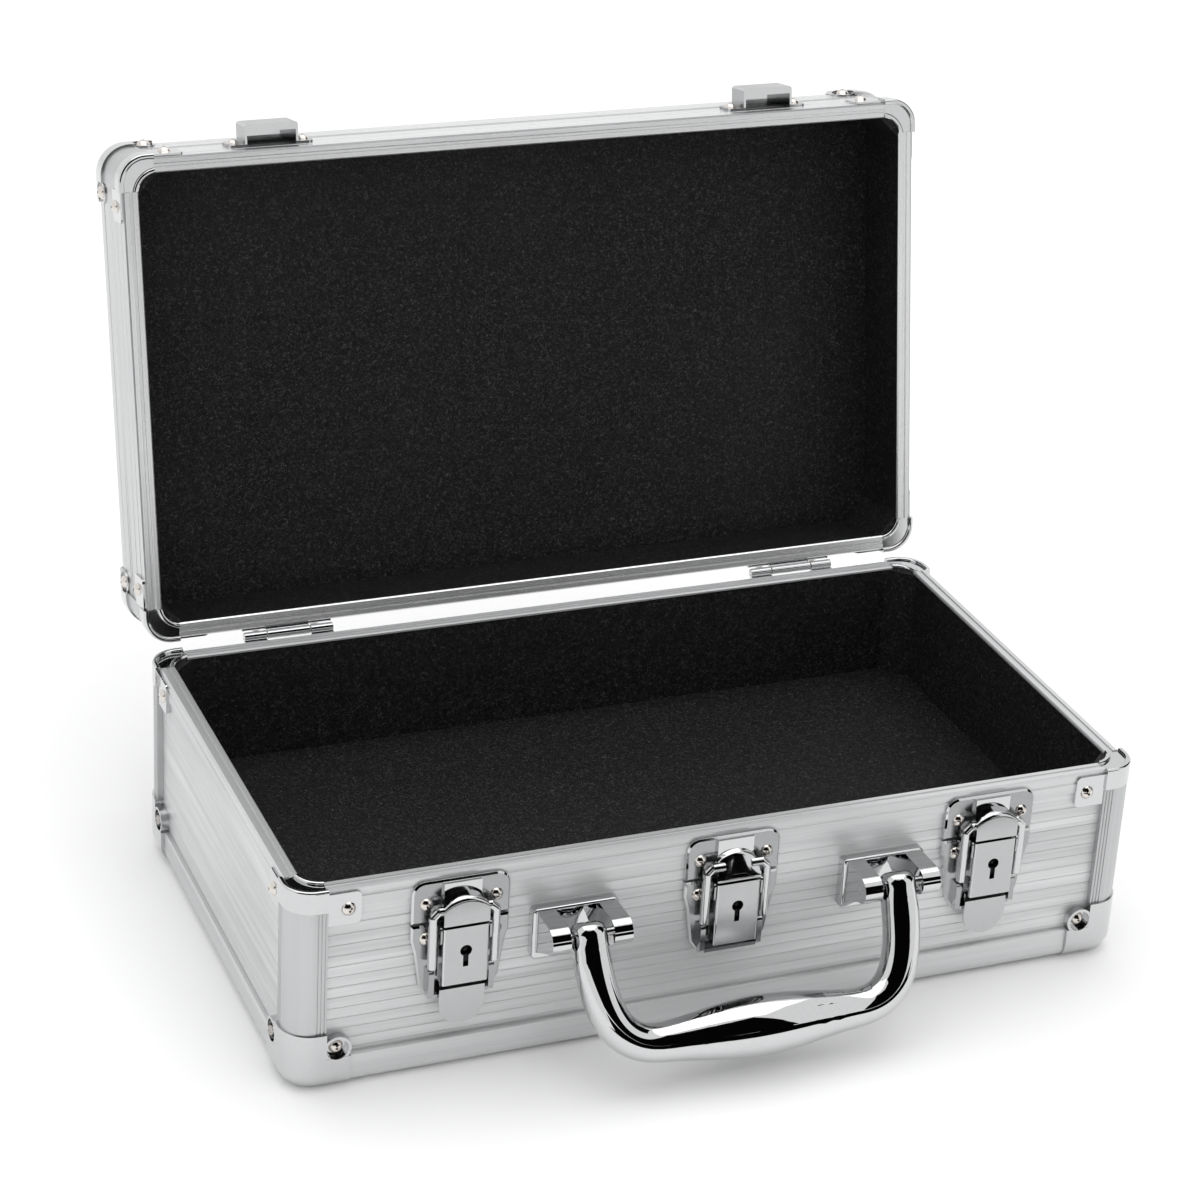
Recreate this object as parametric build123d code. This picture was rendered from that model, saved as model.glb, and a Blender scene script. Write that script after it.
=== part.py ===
from build123d import *
import math
import os

# Aluminium framed hard case with a hinged lid, three key latches and a carrying handle.
# Millimetres. X runs across the front, -Y is the front, Z is up.
# The origin is the middle of the flat underside. The lid stands open against its stop.

# overall case
CASE_W = 330.0            # outside width over the rim rails
CASE_D = 188.0            # outside depth over the rim rails
BASE_H = 82.0             # height of the base rim
LID_H = 42.0              # depth of the lid, rim to top rail
RIM_GAP = 1.6             # gap between the two rims when the lid is shut
LID_OPEN = 101.0          # opening angle at the hinge stop, degrees

# shared wall build-up, measured inward from the outside of the rim rails
RIM_W = 6.0               # width of the rim rail seen from above
RIM_T = 1.2               # thickness of the rim rail's top
FLANGE_T = 1.0            # thickness of the rim rail's outer flange
FLANGE_Z = BASE_H - 8.0   # lower edge of that flange
SHEET_T = 0.8             # ribbed panel sheet
RIB_STEP = 0.12           # depth of one groove of the sheet
RIB_PITCH = 4.3
GROOVE_W = 0.6            # width of one groove
BOARD_T = 3.0             # board core behind the sheet
LINING_T = 0.8
CORNER_LEG = 12.5         # how far corner posts reach along each wall
POST_PROUD = 1.4          # corner posts stand this far outside the rails
POST_R = 10.0
POST_GROOVES = (8.9, 10.2, 11.5)  # fine grooves down each post, from the corner
POST_GROOVE_W = 0.4
POST_GROOVE_DEPTH = 0.3
INNER_R = 7.6             # inside radius of posts and base corner pieces

# base bottom
RAIL_TOP = 14.0           # top edge of the bottom rail
RAIL_BOTTOM = 0.8         # rails sit this far above the standing plane
RAIL_PROUD = 1.0
RAIL_LEG_T = 1.5
RAIL_LEG_W = 14.0         # reach of the bottom rail's leg under the case
RAIL_R = 5.5
DISH_EDGE = 15.5          # where the bottom sheet is pressed down to the standing plane
FLOOR_Z = 34.0            # top of the floor lining
BOTTOM_CORNER_LEG = 21.4
BOTTOM_CORNER_H = 24.0
BOTTOM_CORNER_PROUD = 2.4
BOTTOM_CORNER_R = 12.0
BOTTOM_BALL_R = 8.0
LUG_X = 16.5              # rivet seat, from the rail end of the corner
LUG_Z = 17.4
LUG_R = 5.2
POCKET_R = 4.1
POCKET_FLOOR = 0.1

# rim corner pieces
CAP_PROUD = 1.9
CAP_R = 11.0
CAP_INNER_R = 8.0
BEAD_W = 2.2
BEAD_H = 1.1
BEAD_ROUND = 0.9
BEAD_FIT = 0.1            # the lid's beads are this much lower, so that the beads don't press
CAP_DROP = 0.4            # the floor between the beads lies this far below the rim
TAB_LEN = 12.1
TAB_T = 0.9
TAB_POST_GAP = 0.3        # between the tab's inner half and the post
TAB_Z0, TAB_Z1 = BASE_H - 14.2, BASE_H - 1.6
TAB_RIVET = 19.9          # rivet distance from the outside corner
TAB_RIVET_Z = BASE_H - 8.2

# lid
LID_WALL_T = 1.5
LID_R = 6.0               # rounded edge between lid wall and lid top
LID_CAP_PROUD = 1.5
LID_SKIRT = 6.0
LID_POST_PROUD = 0.6
LID_POST_R = 10.6
LID_INNER_R = 7.0
LID_BOARD_R = 8.0
LID_BALL_W0 = LID_H - 14.0        # where the outer corner piece starts, from the rim
LID_BALL_PROUD = 1.6
LID_BALL_T = 0.8
LID_BALL_LEG = 20.5
LID_LEG_W0 = LID_H - 9.0
LID_CEILING = LID_H - 10.2        # depth of the lined ceiling
LID_LUG_W = LID_H - 10.5
LID_TAB_W0, LID_TAB_W1 = 1.6, 13.5
LID_TAB_RIVET_W = 9.3
LID_TAB_RIVET = 19.0      # rivet distance from the outside corner
LID_LUG_T = 0.7
LID_LUG_R = 4.6
LID_POCKET_R = 3.5
LID_GROOVES = (LID_H - 10.5, 23.5, 21.2, 13.0, 6.2)
GROOVE_DEPTH = 0.45
GROOVE_HALF = 0.5
LID_LEG_REACH = 12.5      # reach of the lid rail's leg over the lid top
LID_FIELD_EDGE = 13.2     # where the lid sheet is pressed outward
LID_PANEL_DROP = 0.3      # lid sheet field sits this far below the rail top

# corner fillers inside
FILLER_LEG = 9.5

# rivets
RIVET_R = 2.7
SMALL_RIVET_R = 2.5
RIVET_H = 1.7
SHANK_R = 1.6
HOLE_CLEAR = 0.06
DIMPLE_R = 0.55
DIMPLE_DEPTH = 0.6

# latches
LATCH_X = (-104.0, 0.0, 104.0)
LATCH_NAME = ("left", "middle", "right")
PLATE_HALF = 18.25
PLATE_PROUD = 1.7
PLATE_Z1 = BASE_H - 2.2
PLATE_SPLIT = BASE_H - 19.6
PLATE_SLOT = 0.8
PLATE_SIDE = ((18.25, 25.4), (16.9, 30.5), (14.9, 44.5), (11.2, 50.2))  # half width, drop below the rim
PLATE_TOP_R = 5.0
PLATE_BEVEL = 0.7
WING_X = 10.2             # low side guards of the lower plate
WING_T = 2.0
WING_OUT = 4.6
WING_Z0, WING_Z1 = BASE_H - 48.6, BASE_H - 37.2
LIP_T = 1.4
LATCH_RIVET_X = 13.0
LATCH_RIVET_Z = (BASE_H - 11.0, BASE_H - 25.0)
EAR_X = 8.8
EAR_T = 0.7
EAR_RIM = 1.4             # metal in front of the pivot
EAR_Z0, EAR_Z1 = BASE_H - 25.0, BASE_H - 18.0
COVER_HALF = 8.5
COVER_PROUD = 8.2
COVER_Z0, COVER_Z1 = BASE_H - 41.6, BASE_H - 18.5
MID_COVER_Z0 = BASE_H - 43.6
COVER_BACK = 2.6
SHELL_T = 1.0
PIVOT_Z = BASE_H - 19.7
PIVOT_OUT = 6.4
LATCH_PIN_R = 0.7
HOOD_Z0 = BASE_H - 17.4
HOOD_BEND = BASE_H - 11.8         # where the hood's face turns over to its top, at the sides
HOOD_BACK_Z = BASE_H - 9.3        # where the hood's top meets the plate, at the sides
HOOD_ARCH = 3.3           # rise of the hood's arched edges
HOOD_R = 1.7              # rounding between the face and the top
HOOD_STEPS = 6
HOOD_TURN = 75.0          # the rounding turns this far, in degrees
HOOD_TOP_HALF = 7.2
MID_HOOD_FOOT = BASE_H - 16.6     # the middle hood's face leans back from here
MID_HOOD_ARCH = 0.4
MID_HOOD_LEAN = 2.9       # how far its top edge lies behind its foot
HOOD_BLOCK_HALF = 7.0     # raised block behind the hood
HOOD_BLOCK_OUT = 2.6
HOOD_BLOCK_Z1 = BASE_H - 2.9
ARM_X = 11.6
ARM_R = 1.7
ARM_OUT = 5.4
ARM_Z0, ARM_Z1 = BASE_H - 35.0, BASE_H - 12.4
ARM_TURN = 1.9            # the arm turns into the hood this far inside its own line
STRIP_HALF = 6.5
STRIP_T = 0.6
STRIP_Z0 = BASE_H - 38.0
KEY_Z = BASE_H - 28.1
KEY_R = 2.2
KEY_SLOT_W = 2.0
KEY_SLOT_Z0 = BASE_H - 34.6
PLUG_R = 4.0
PLUG_FIT = 0.05
PLUG_GAP = 0.2
PLUG_LEN = 3.8
WELL_DEPTH = 1.8
KEY_POST_R = 0.6
CAM_HALF = 1.5
CAM_T = 0.7
CAM_REACH = 6.4
BOSS_R = 5.2
TONGUE_Z0 = BASE_H - 59.5
TONGUE_OUT = 5.6
TONGUE_T = 1.0
TONGUE_GAP = 0.3
TONGUE_DROP = 3.2         # dark slot between the cover and its tongue
TONGUE_NECK_HALF = 7.5

# strikes on the lid
STRIKE_X = (LATCH_X[0], LATCH_X[-1])
STRIKE_HALF = 17.0
STRIKE_W0, STRIKE_W1 = 8.0, 20.0
STRIKE_T = 1.0
BRIDGE_HALF = 10.6
BRIDGE_OUT = 8.6
BRIDGE_T = 0.9
BRIDGE_LIP = 2.0
STRIKE_RIVET_X = 13.9

# handle
HANDLE_X = 60.7
HANDLE_OUT = 14.8
HANDLE_Z = BASE_H - 25.5
HANDLE_LEAN = 28.0
HANDLE_L = 42.0
HANDLE_TURN = 26.0        # the legs run straight down this far before they bend
HANDLE_STATIONS = 12      # sections from the middle of the grip to a pivot
TUBE_R = 6.9
GRIP_R = 11.0
GRIP_HALF = 37.0
SWELL_HALF = 46.0         # the grip swells over this half length
TUBE_END_H = 4.5          # closed end of the tube above the pivot
TUBE_END_R = 4.0
HANDLE_PIN_R = 1.6
BRACKET_HALF = 16.5
BRACKET_Z0, BRACKET_Z1 = BASE_H - 40.6, BASE_H - 19.8
BRACKET_T = 3.0
BRACKET_ROUND = 1.2
EAR_IN, EAR_OUT = 8.2, 15.2
EAR_END_R = 5.2
BRACKET_RIVET_X = 4.6
BRACKET_RIVET_Z = BASE_H - 35.0

# hinges
HINGE_X = CASE_W / 2 - 56.0
HINGE_HALF = 18.2
HINGE_MID = 9.1
HINGE_BACK = 2.8          # hinge axis behind the rim rails
BARREL_R = 1.75
HINGE_PIN_R = 0.9
LEAF_T = 1.0
LEAF_H = 6.7
LEAF_RIVET_X = 12.0
KNUCKLE_GAP = 0.3

HALF_W, HALF_D = CASE_W / 2, CASE_D / 2
LID_Z = BASE_H + RIM_GAP
AXIS_Y, AXIS_Z = HALF_D + HINGE_BACK, BASE_H + RIM_GAP / 2
SHEET_U = FLANGE_T
BOARD_U = SHEET_U + SHEET_T
LINING_U = BOARD_U + BOARD_T
LID_LINING_U = LID_WALL_T + BOARD_T
BOARD_TOP = BASE_H - RIM_T
SHEET_Z0 = RAIL_BOTTOM + RAIL_LEG_T
BOARD_Z0 = SHEET_Z0 + SHEET_T
LID_SHEET_W = LID_H - RAIL_LEG_T
LID_BOARD_W = LID_SHEET_W - SHEET_T


def plate(z0, z1, inset, radius, inset_y=None):
    """Flat slab with rounded corners, its edges inset from the outside of the rims."""
    w = CASE_W - 2 * inset
    d = CASE_D - 2 * (inset if inset_y is None else inset_y)
    outline = Rectangle(w, d) if radius == 0 else RectangleRounded(w, d, radius)
    return Pos(0, 0, z0) * extrude(outline, z1 - z0)


def ring(z0, z1, out_inset, out_r, in_inset, in_r):
    return plate(z0, z1, out_inset, out_r) - plate(z0 - 1, z1 + 1, in_inset, in_r)


def bead(z0, z1, out_inset, out_r, in_inset, in_r, end):
    """Ring with the edges of its upper (end -1) or lower (end 0) face rounded."""
    made = ring(z0, z1, out_inset, out_r, in_inset, in_r)
    return fillet(made.faces().sort_by(Axis.Z)[end].edges(), BEAD_ROUND)


def block(x0, x1, y0, y1, z0, z1):
    return Pos((x0 + x1) / 2, (y0 + y1) / 2, (z0 + z1) / 2) * Box(x1 - x0, y1 - y0, z1 - z0)


def merge(pieces):
    """All pieces joined, kept as separate solids where they don't touch."""
    result = pieces[0]
    for piece in pieces[1:]:
        result = result + piece
    return result


def four_corners(leg, z0, z1, leg_y=None):
    """Blocks that cover the four corners of the case, reaching leg along each wall."""
    reach = 40.0
    cut_x, cut_y = HALF_W - leg, HALF_D - (leg if leg_y is None else leg_y)
    return [block(*sorted((sx * cut_x, sx * (HALF_W + reach))),
                  *sorted((sy * cut_y, sy * (HALF_D + reach))), z0, z1)
            for sx in (-1, 1) for sy in (-1, 1)]


SIDES = {
    "front": (Vector(0, -HALF_D, 0), Vector(0, 1, 0), Vector(1, 0, 0)),
    "back": (Vector(0, HALF_D, 0), Vector(0, -1, 0), Vector(-1, 0, 0)),
    "left": (Vector(-HALF_W, 0, 0), Vector(1, 0, 0), Vector(0, -1, 0)),
    "right": (Vector(HALF_W, 0, 0), Vector(-1, 0, 0), Vector(0, 1, 0)),
}


def bar(side, edges, half):
    """Straight extrusion along one wall, drawn as (inward, up) in its cross-section."""
    start, inward, along = SIDES[side]
    frame = Plane(origin=start - along * half, x_dir=inward, z_dir=along)
    return extrude(frame * make_face(edges), 2 * half)


def loop(points):
    return Polyline(*points, close=True)


def half_length(side, leg):
    return (HALF_W if side in ("front", "back") else HALF_D) - leg


def wall_place(side, along, up, out):
    """Frame on a wall: local Z points out of the wall, at a distance along it."""
    start, inward, direction = SIDES[side]
    point = start + direction * along + Vector(0, 0, up) - inward * out
    return Plane(origin=point, x_dir=direction, z_dir=inward * -1)


def rivet(head_r, length):
    """Pop rivet: domed head with a small centre dimple, and its shank."""
    sphere_r = (head_r ** 2 + RIVET_H ** 2) / (2 * RIVET_H)
    dome = Pos(0, 0, RIVET_H - sphere_r) * Sphere(sphere_r)
    dome = dome & (Pos(0, 0, RIVET_H / 2) * Box(4 * head_r, 4 * head_r, RIVET_H))
    dimple = Pos(0, 0, RIVET_H - DIMPLE_DEPTH / 2) * Cylinder(DIMPLE_R, DIMPLE_DEPTH)
    shank = Pos(0, 0, -length / 2) * Cylinder(SHANK_R, length)
    return (dome - dimple) + shank


def rivets(places, head_r, length):
    shape = rivet(head_r, length)
    return [place.location * shape for place in places]


def drilled(part, places, depth):
    """Clearance holes for the rivet shanks at the given places."""
    drill = Pos(0, 0, -depth / 2) * Cylinder(SHANK_R + HOLE_CLEAR, depth + 2 * BRIDGE_OUT)
    for place in places:
        part = part - place.location * drill
    return part


# ---------------------------------------------------------------- base walls
def ribbed_face(z0, z1):
    """Outer edge of the sheet's cross-section, stepped between the rails."""
    low, high = RAIL_TOP + 1.2, FLANGE_Z - 0.6
    count = int((high - low) / RIB_PITCH)
    points = [(SHEET_U, z0)]
    for i in range(count):
        z = low + i * RIB_PITCH
        dip = SHEET_U + RIB_STEP
        points += [(SHEET_U, z), (dip, z + GROOVE_W / 3), (dip, z + GROOVE_W * 2 / 3),
                   (SHEET_U, z + GROOVE_W)]
    points += [(SHEET_U, z1), (SHEET_U + SHEET_T, z1), (SHEET_U + SHEET_T, z0)]
    return loop(points)


def sheet_half(side):
    start = HALF_W if side in ("front", "back") else HALF_D
    return start - SHEET_U - INNER_R - 0.2


base_panels = {side: bar(side, ribbed_face(SHEET_Z0, BOARD_TOP), sheet_half(side)) for side in SIDES}

board_ring = ring(BOARD_Z0, BOARD_TOP, BOARD_U, INNER_R - SHEET_T, LINING_U, 0)
front_strip = block(-HALF_W, HALF_W, -HALF_D, -HALF_D + LINING_U, 0, BASE_H)
back_strip = block(-HALF_W, HALF_W, HALF_D - LINING_U, HALF_D, 0, BASE_H)
left_strip = block(-HALF_W, -HALF_W + LINING_U, -HALF_D + LINING_U, HALF_D - LINING_U, 0, BASE_H)
right_strip = block(HALF_W - LINING_U, HALF_W, -HALF_D + LINING_U, HALF_D - LINING_U, 0, BASE_H)
wall_boards = [board_ring & strip for strip in (front_strip, back_strip, left_strip, right_strip)]

rim_profile = loop([
    (0, FLANGE_Z), (0, BASE_H - 4.4), (0.3, BASE_H - 4.1), (0.3, BASE_H - 3.7), (0, BASE_H - 3.4),
    (0, BASE_H - 0.6), (0.6, BASE_H),
    (2.3, BASE_H), (2.6, BASE_H - 0.5), (3.5, BASE_H - 0.5), (3.8, BASE_H), (RIM_W - 0.5, BASE_H),
    (RIM_W, BASE_H - 0.5), (RIM_W, BOARD_TOP), (FLANGE_T, BOARD_TOP), (FLANGE_T, FLANGE_Z)])
rim_rails = [bar(side, rim_profile, half_length(side, CORNER_LEG)) for side in SIDES]

turn = RAIL_R * (1 - math.sqrt(0.5))
rail_profile = [
    Line((-RAIL_PROUD, RAIL_BOTTOM + RAIL_R), (-RAIL_PROUD, RAIL_TOP - 0.5)),
    Line((-RAIL_PROUD, RAIL_TOP - 0.5), (-RAIL_PROUD + 0.5, RAIL_TOP)),
    Line((-RAIL_PROUD + 0.5, RAIL_TOP), (SHEET_U, RAIL_TOP)),
    Line((SHEET_U, RAIL_TOP), (SHEET_U, SHEET_Z0)),
    Line((SHEET_U, SHEET_Z0), (RAIL_LEG_W, SHEET_Z0)),
    Line((RAIL_LEG_W, SHEET_Z0), (RAIL_LEG_W, RAIL_BOTTOM)),
    Line((RAIL_LEG_W, RAIL_BOTTOM), (-RAIL_PROUD + RAIL_R, RAIL_BOTTOM)),
    ThreePointArc((-RAIL_PROUD + RAIL_R, RAIL_BOTTOM),
                  (-RAIL_PROUD + turn, RAIL_BOTTOM + turn),
                  (-RAIL_PROUD, RAIL_BOTTOM + RAIL_R))]
bottom_rails = [bar(side, rail_profile, half_length(side, BOTTOM_CORNER_LEG)) for side in SIDES]



def panel_tab(side, along, z0, z1, flange_z):
    """Rivet tab of a corner piece, lying on the rail flange and on the sheet below it."""
    z_mid, height, reach = (z0 + z1) / 2, z1 - z0, 2 * TAB_LEN
    sign = 1 if along > 0 else -1
    corner = half_length(side, CORNER_LEG)
    face = wall_place(side, sign * corner, z_mid, 0)
    outline = RectangleRounded(reach, height, 2.0)
    slab = extrude(face * outline, TAB_T)
    slab = slab + extrude(face * outline, -FLANGE_T) if flange_z else slab
    keep = face.location * (Pos(-sign * TAB_LEN, 0, 0) * Box(2 * TAB_LEN, 4 * height, 10))
    slab = slab & keep
    if flange_z:
        over = face.location * (Pos(-sign * TAB_LEN, (flange_z + z1) / 2 - z_mid + 0.5, -FLANGE_T / 2)
                                * Box(2 * TAB_LEN, z1 - flange_z + 1, FLANGE_T))
        beside = face.location * (Pos(0, 0, -FLANGE_T / 2) * Box(2 * TAB_POST_GAP, 4 * height, FLANGE_T))
        slab = slab - over - beside
    return slab


def side_signs():
    return [(side, sign) for side in SIDES for sign in (-1, 1)]


post_ring = ring(BOTTOM_CORNER_H, FLANGE_Z, -POST_PROUD, POST_R, SHEET_U, INNER_R)
for side, sign in side_signs():
    for along in POST_GROOVES:
        face = wall_place(side, sign * half_length(side, along), BASE_H / 2, POST_PROUD)
        post_ring = post_ring - face.location * Box(POST_GROOVE_W, BASE_H, 2 * POST_GROOVE_DEPTH)
corner_posts = [post_ring & box for box in four_corners(CORNER_LEG, 0, BASE_H)]


tab_places = [wall_place(side, sign * half_length(side, TAB_RIVET), TAB_RIVET_Z, TAB_T)
              for side, sign in side_signs()]
cap_z = BASE_H - CAP_DROP
cap = (ring(BOARD_TOP, cap_z, -CAP_PROUD, CAP_R, RIM_W, CAP_INNER_R)
       + ring(FLANGE_Z, BOARD_TOP, -CAP_PROUD, CAP_R, SHEET_U, INNER_R)
       + bead(cap_z, cap_z + BEAD_H, -CAP_PROUD, CAP_R, BEAD_W - CAP_PROUD, CAP_R - BEAD_W, -1)
       + bead(cap_z, cap_z + BEAD_H, RIM_W - BEAD_W, CAP_INNER_R + BEAD_W, RIM_W, CAP_INNER_R, -1))
top_corners = [cap & box for box in four_corners(CORNER_LEG, 0, 2 * BASE_H)]
top_corners = merge(top_corners + [panel_tab(side, sign, TAB_Z0, TAB_Z1, FLANGE_Z)
                                   for side, sign in side_signs()])

lug_places = [wall_place(side, sign * half_length(side, LUG_X), LUG_Z, -POCKET_FLOOR)
              for side, sign in side_signs()]
shell = plate(0, BOTTOM_CORNER_H, -BOTTOM_CORNER_PROUD, BOTTOM_CORNER_R)
shell = fillet(shell.faces().sort_by(Axis.Z)[0].edges(), BOTTOM_BALL_R)
shell = shell - plate(SHEET_Z0, BASE_H, SHEET_U, INNER_R)
shell = shell - plate(-1, BASE_H, DISH_EDGE, 0)
lug_bodies = [place.location * (Pos(0, 0, (POCKET_FLOOR - SHEET_U) / 2 + 1.2)
                                * Cylinder(LUG_R, SHEET_U - POCKET_FLOOR + 2.4))
              for place in lug_places]
upper_x = block(-half_length("front", CORNER_LEG), half_length("front", CORNER_LEG),
                -CASE_D, CASE_D, RAIL_TOP, BASE_H)
upper_y = block(-CASE_W, CASE_W, -half_length("left", CORNER_LEG), half_length("left", CORNER_LEG),
                RAIL_TOP, BASE_H)
lugs = merge([body & block(-CASE_W, CASE_W, -CASE_D, CASE_D, RAIL_TOP, BOTTOM_CORNER_H - 1.4)
              for body in lug_bodies]) & plate(0, BASE_H, -BOTTOM_CORNER_PROUD, BOTTOM_CORNER_R)
lugs = lugs - plate(0, BASE_H, SHEET_U, INNER_R)
bottom_corner_ring = (shell - upper_x - upper_y)
bottom_corners = merge([bottom_corner_ring & box for box in four_corners(BOTTOM_CORNER_LEG, -1, BASE_H)]
                       + [lugs])
pocket = Pos(0, 0, 5) * Cylinder(POCKET_R, 10)
for place in lug_places:
    bottom_corners = bottom_corners - place.location * pocket

# ---------------------------------------------------------------- base bottom and lining
field = plate(0, SHEET_Z0, DISH_EDGE, 0)
bottom_panel = (plate(SHEET_Z0, BOARD_Z0, BOARD_U, INNER_R - SHEET_T) + field
                - plate(RAIL_BOTTOM, BOARD_Z0 + 1, DISH_EDGE + SHEET_T, 0))
bottom_board = (plate(BOARD_Z0, BOARD_Z0 + BOARD_T, LINING_U, 0)
                + plate(RAIL_BOTTOM, BOARD_Z0, DISH_EDGE + SHEET_T, 0))
floor_foam = plate(BOARD_Z0 + BOARD_T, FLOOR_Z - LINING_T, LINING_U, 0)
floor_lining = plate(FLOOR_Z - LINING_T, FLOOR_Z, LINING_U, 0)


def linings(z0, z1, depth):
    """Four lining sheets, the long ones running into the corners."""
    edge = depth + LINING_T
    half_w, half_d, inner_w, inner_d = HALF_W - depth, HALF_D - depth, HALF_W - edge, HALF_D - edge
    return [block(-half_w, half_w, -half_d, -inner_d, z0, z1),
            block(-half_w, half_w, inner_d, half_d, z0, z1),
            block(-half_w, -inner_w, -inner_d, inner_d, z0, z1),
            block(inner_w, half_w, -inner_d, inner_d, z0, z1)]


def fillers(z0, z1, depth):
    """Slanted corner fillers inside the lining."""
    x, y = HALF_W - depth - LINING_T, HALF_D - depth - LINING_T
    pieces = []
    for sx in (-1, 1):
        for sy in (-1, 1):
            outline = make_face(loop([(sx * x, sy * y), (sx * (x - FILLER_LEG), sy * y),
                                      (sx * x, sy * (y - FILLER_LEG))]))
            pieces.append(extrude(Pos(0, 0, z0) * outline, z1 - z0, dir=(0, 0, 1)))
    return pieces


wall_linings = linings(FLOOR_Z, BOARD_TOP, LINING_U)
corner_fillers = fillers(FLOOR_Z, BOARD_TOP, LINING_U)

# ---------------------------------------------------------------- lid, drawn shut
lid_rim = [(0.6, 0), (2.3, 0), (2.6, 0.5), (3.5, 0.5), (3.8, 0), (RIM_W - 0.5, 0), (RIM_W, 0.5),
           (RIM_W, RIM_T), (LID_WALL_T, RIM_T), (LID_WALL_T, LID_H - LID_R)]
lid_leg = [(LID_R, LID_SHEET_W), (LID_LEG_REACH, LID_SHEET_W), (LID_LEG_REACH, LID_H), (LID_R, LID_H)]
lid_face = [(0, LID_H - LID_R)]
for groove in LID_GROOVES:
    lid_face += [(0, groove + GROOVE_HALF), (GROOVE_DEPTH, groove + GROOVE_HALF / 2),
                 (GROOVE_DEPTH, groove - GROOVE_HALF / 2), (0, groove - GROOVE_HALF)]
lid_face += [(0, 0.6), (0.6, 0)]
lid_turn = LID_R * (1 - math.sqrt(0.5))
inner_turn = LID_R - (LID_R - LID_WALL_T) * math.sqrt(0.5)
lid_profile = [Polyline(*lid_rim),
               ThreePointArc(lid_rim[-1], (inner_turn, LID_H - inner_turn), lid_leg[0]),
               Polyline(*lid_leg),
               ThreePointArc((LID_R, LID_H), (lid_turn, LID_H - lid_turn), (0, LID_H - LID_R)),
               Polyline(*lid_face)]


def shut(part):
    return Pos(0, 0, LID_Z) * part


lid_walls = {side: bar(side, lid_profile, half_length(side, CORNER_LEG)) for side in SIDES}

lid_ring = ring(RIM_T, LID_H - LID_R, LID_WALL_T, LID_BOARD_R, LID_LINING_U, 0)
lid_wall_boards = [lid_ring & strip for strip in (
    block(-HALF_W, HALF_W, -HALF_D, -HALF_D + LID_LINING_U, 0, LID_H),
    block(-HALF_W, HALF_W, HALF_D - LID_LINING_U, HALF_D, 0, LID_H),
    block(-HALF_W, -HALF_W + LID_LINING_U, -HALF_D + LID_LINING_U, HALF_D - LID_LINING_U, 0, LID_H),
    block(HALF_W - LID_LINING_U, HALF_W, -HALF_D + LID_LINING_U, HALF_D - LID_LINING_U, 0, LID_H))]

field_top = LID_H - LID_PANEL_DROP
lid_panel = (plate(LID_BOARD_W, LID_SHEET_W, LID_R + HOLE_CLEAR, 0)
             + plate(LID_SHEET_W, field_top, LID_FIELD_EDGE, 0)
             - plate(LID_BOARD_W - 1, field_top - SHEET_T, LID_FIELD_EDGE + SHEET_T, 0))
rib_count = int((CASE_D - 2 * LID_FIELD_EDGE - 4) / RIB_PITCH)
for i in range(rib_count):
    rib_y = (i - (rib_count - 1) / 2) * RIB_PITCH
    lid_panel = lid_panel - block(-HALF_W, HALF_W, rib_y - GROOVE_W / 2, rib_y + GROOVE_W / 2,
                                  field_top - RIB_STEP, field_top + 1)
lid_panel = shut(lid_panel)
lid_top_board = shut(plate(LID_BOARD_W - BOARD_T, LID_BOARD_W, LID_LINING_U, 0)
                     + plate(LID_BOARD_W, field_top - SHEET_T, LID_FIELD_EDGE + SHEET_T, 0))
lid_foam = shut(plate(LID_CEILING + LINING_T, LID_BOARD_W - BOARD_T, LID_LINING_U, 0))
lid_ceiling = shut(plate(LID_CEILING, LID_CEILING + LINING_T, LID_LINING_U, 0))
lid_linings = [shut(piece) for piece in linings(RIM_T, LID_CEILING, LID_LINING_U)]
lid_fillers = [shut(piece) for piece in fillers(RIM_T, LID_CEILING, LID_LINING_U)]

bead_w = CAP_DROP - BEAD_H + BEAD_FIT
lid_cap = (ring(CAP_DROP, RIM_T, -LID_CAP_PROUD, CAP_R, RIM_W, CAP_INNER_R)
           + ring(RIM_T, LID_SKIRT, -LID_CAP_PROUD, CAP_R, LID_WALL_T, LID_INNER_R)
           + bead(bead_w, CAP_DROP, -LID_CAP_PROUD, CAP_R, BEAD_W - LID_CAP_PROUD, CAP_R - BEAD_W, 0)
           + bead(bead_w, CAP_DROP, RIM_W - BEAD_W, CAP_INNER_R + BEAD_W, RIM_W, CAP_INNER_R, 0))
lid_rim_corners = merge([lid_cap & box for box in four_corners(CORNER_LEG, -LID_H, LID_H)]
                        + [panel_tab(side, sign, LID_TAB_W0, LID_TAB_W1, 0)
                           for side, sign in side_signs()])
lid_posts = [shut(ring(LID_SKIRT, LID_BALL_W0, -LID_POST_PROUD, LID_POST_R, LID_WALL_T, LID_INNER_R)
                  & box) for box in four_corners(CORNER_LEG, 0, LID_H)]

lid_shell = plate(LID_BALL_W0, LID_H + LID_BALL_T, -LID_BALL_PROUD, BOTTOM_CORNER_R)
lid_shell = fillet(lid_shell.faces().sort_by(Axis.Z)[-1].edges(), BOTTOM_BALL_R)
lid_envelope = plate(-1, LID_H, 0, 4.0)
lid_envelope = fillet(lid_envelope.faces().sort_by(Axis.Z)[-1].edges(), LID_R - 1.2)
lid_leg_zone_x = block(-half_length("front", CORNER_LEG), half_length("front", CORNER_LEG),
                       -CASE_D, CASE_D, -1, LID_H + 5)
lid_leg_zone_y = block(-CASE_W, CASE_W, -half_length("left", CORNER_LEG),
                       half_length("left", CORNER_LEG), -1, LID_H + 5)
lid_low = block(-CASE_W, CASE_W, -CASE_D, CASE_D, -1, LID_LEG_W0)
lid_corner_body = lid_shell - plate(-1, LID_SHEET_W, LID_WALL_T, LID_INNER_R)
for zone in (lid_leg_zone_x, lid_leg_zone_y):
    lid_corner_body = lid_corner_body - (lid_envelope & zone) - (lid_low & zone)
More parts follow.
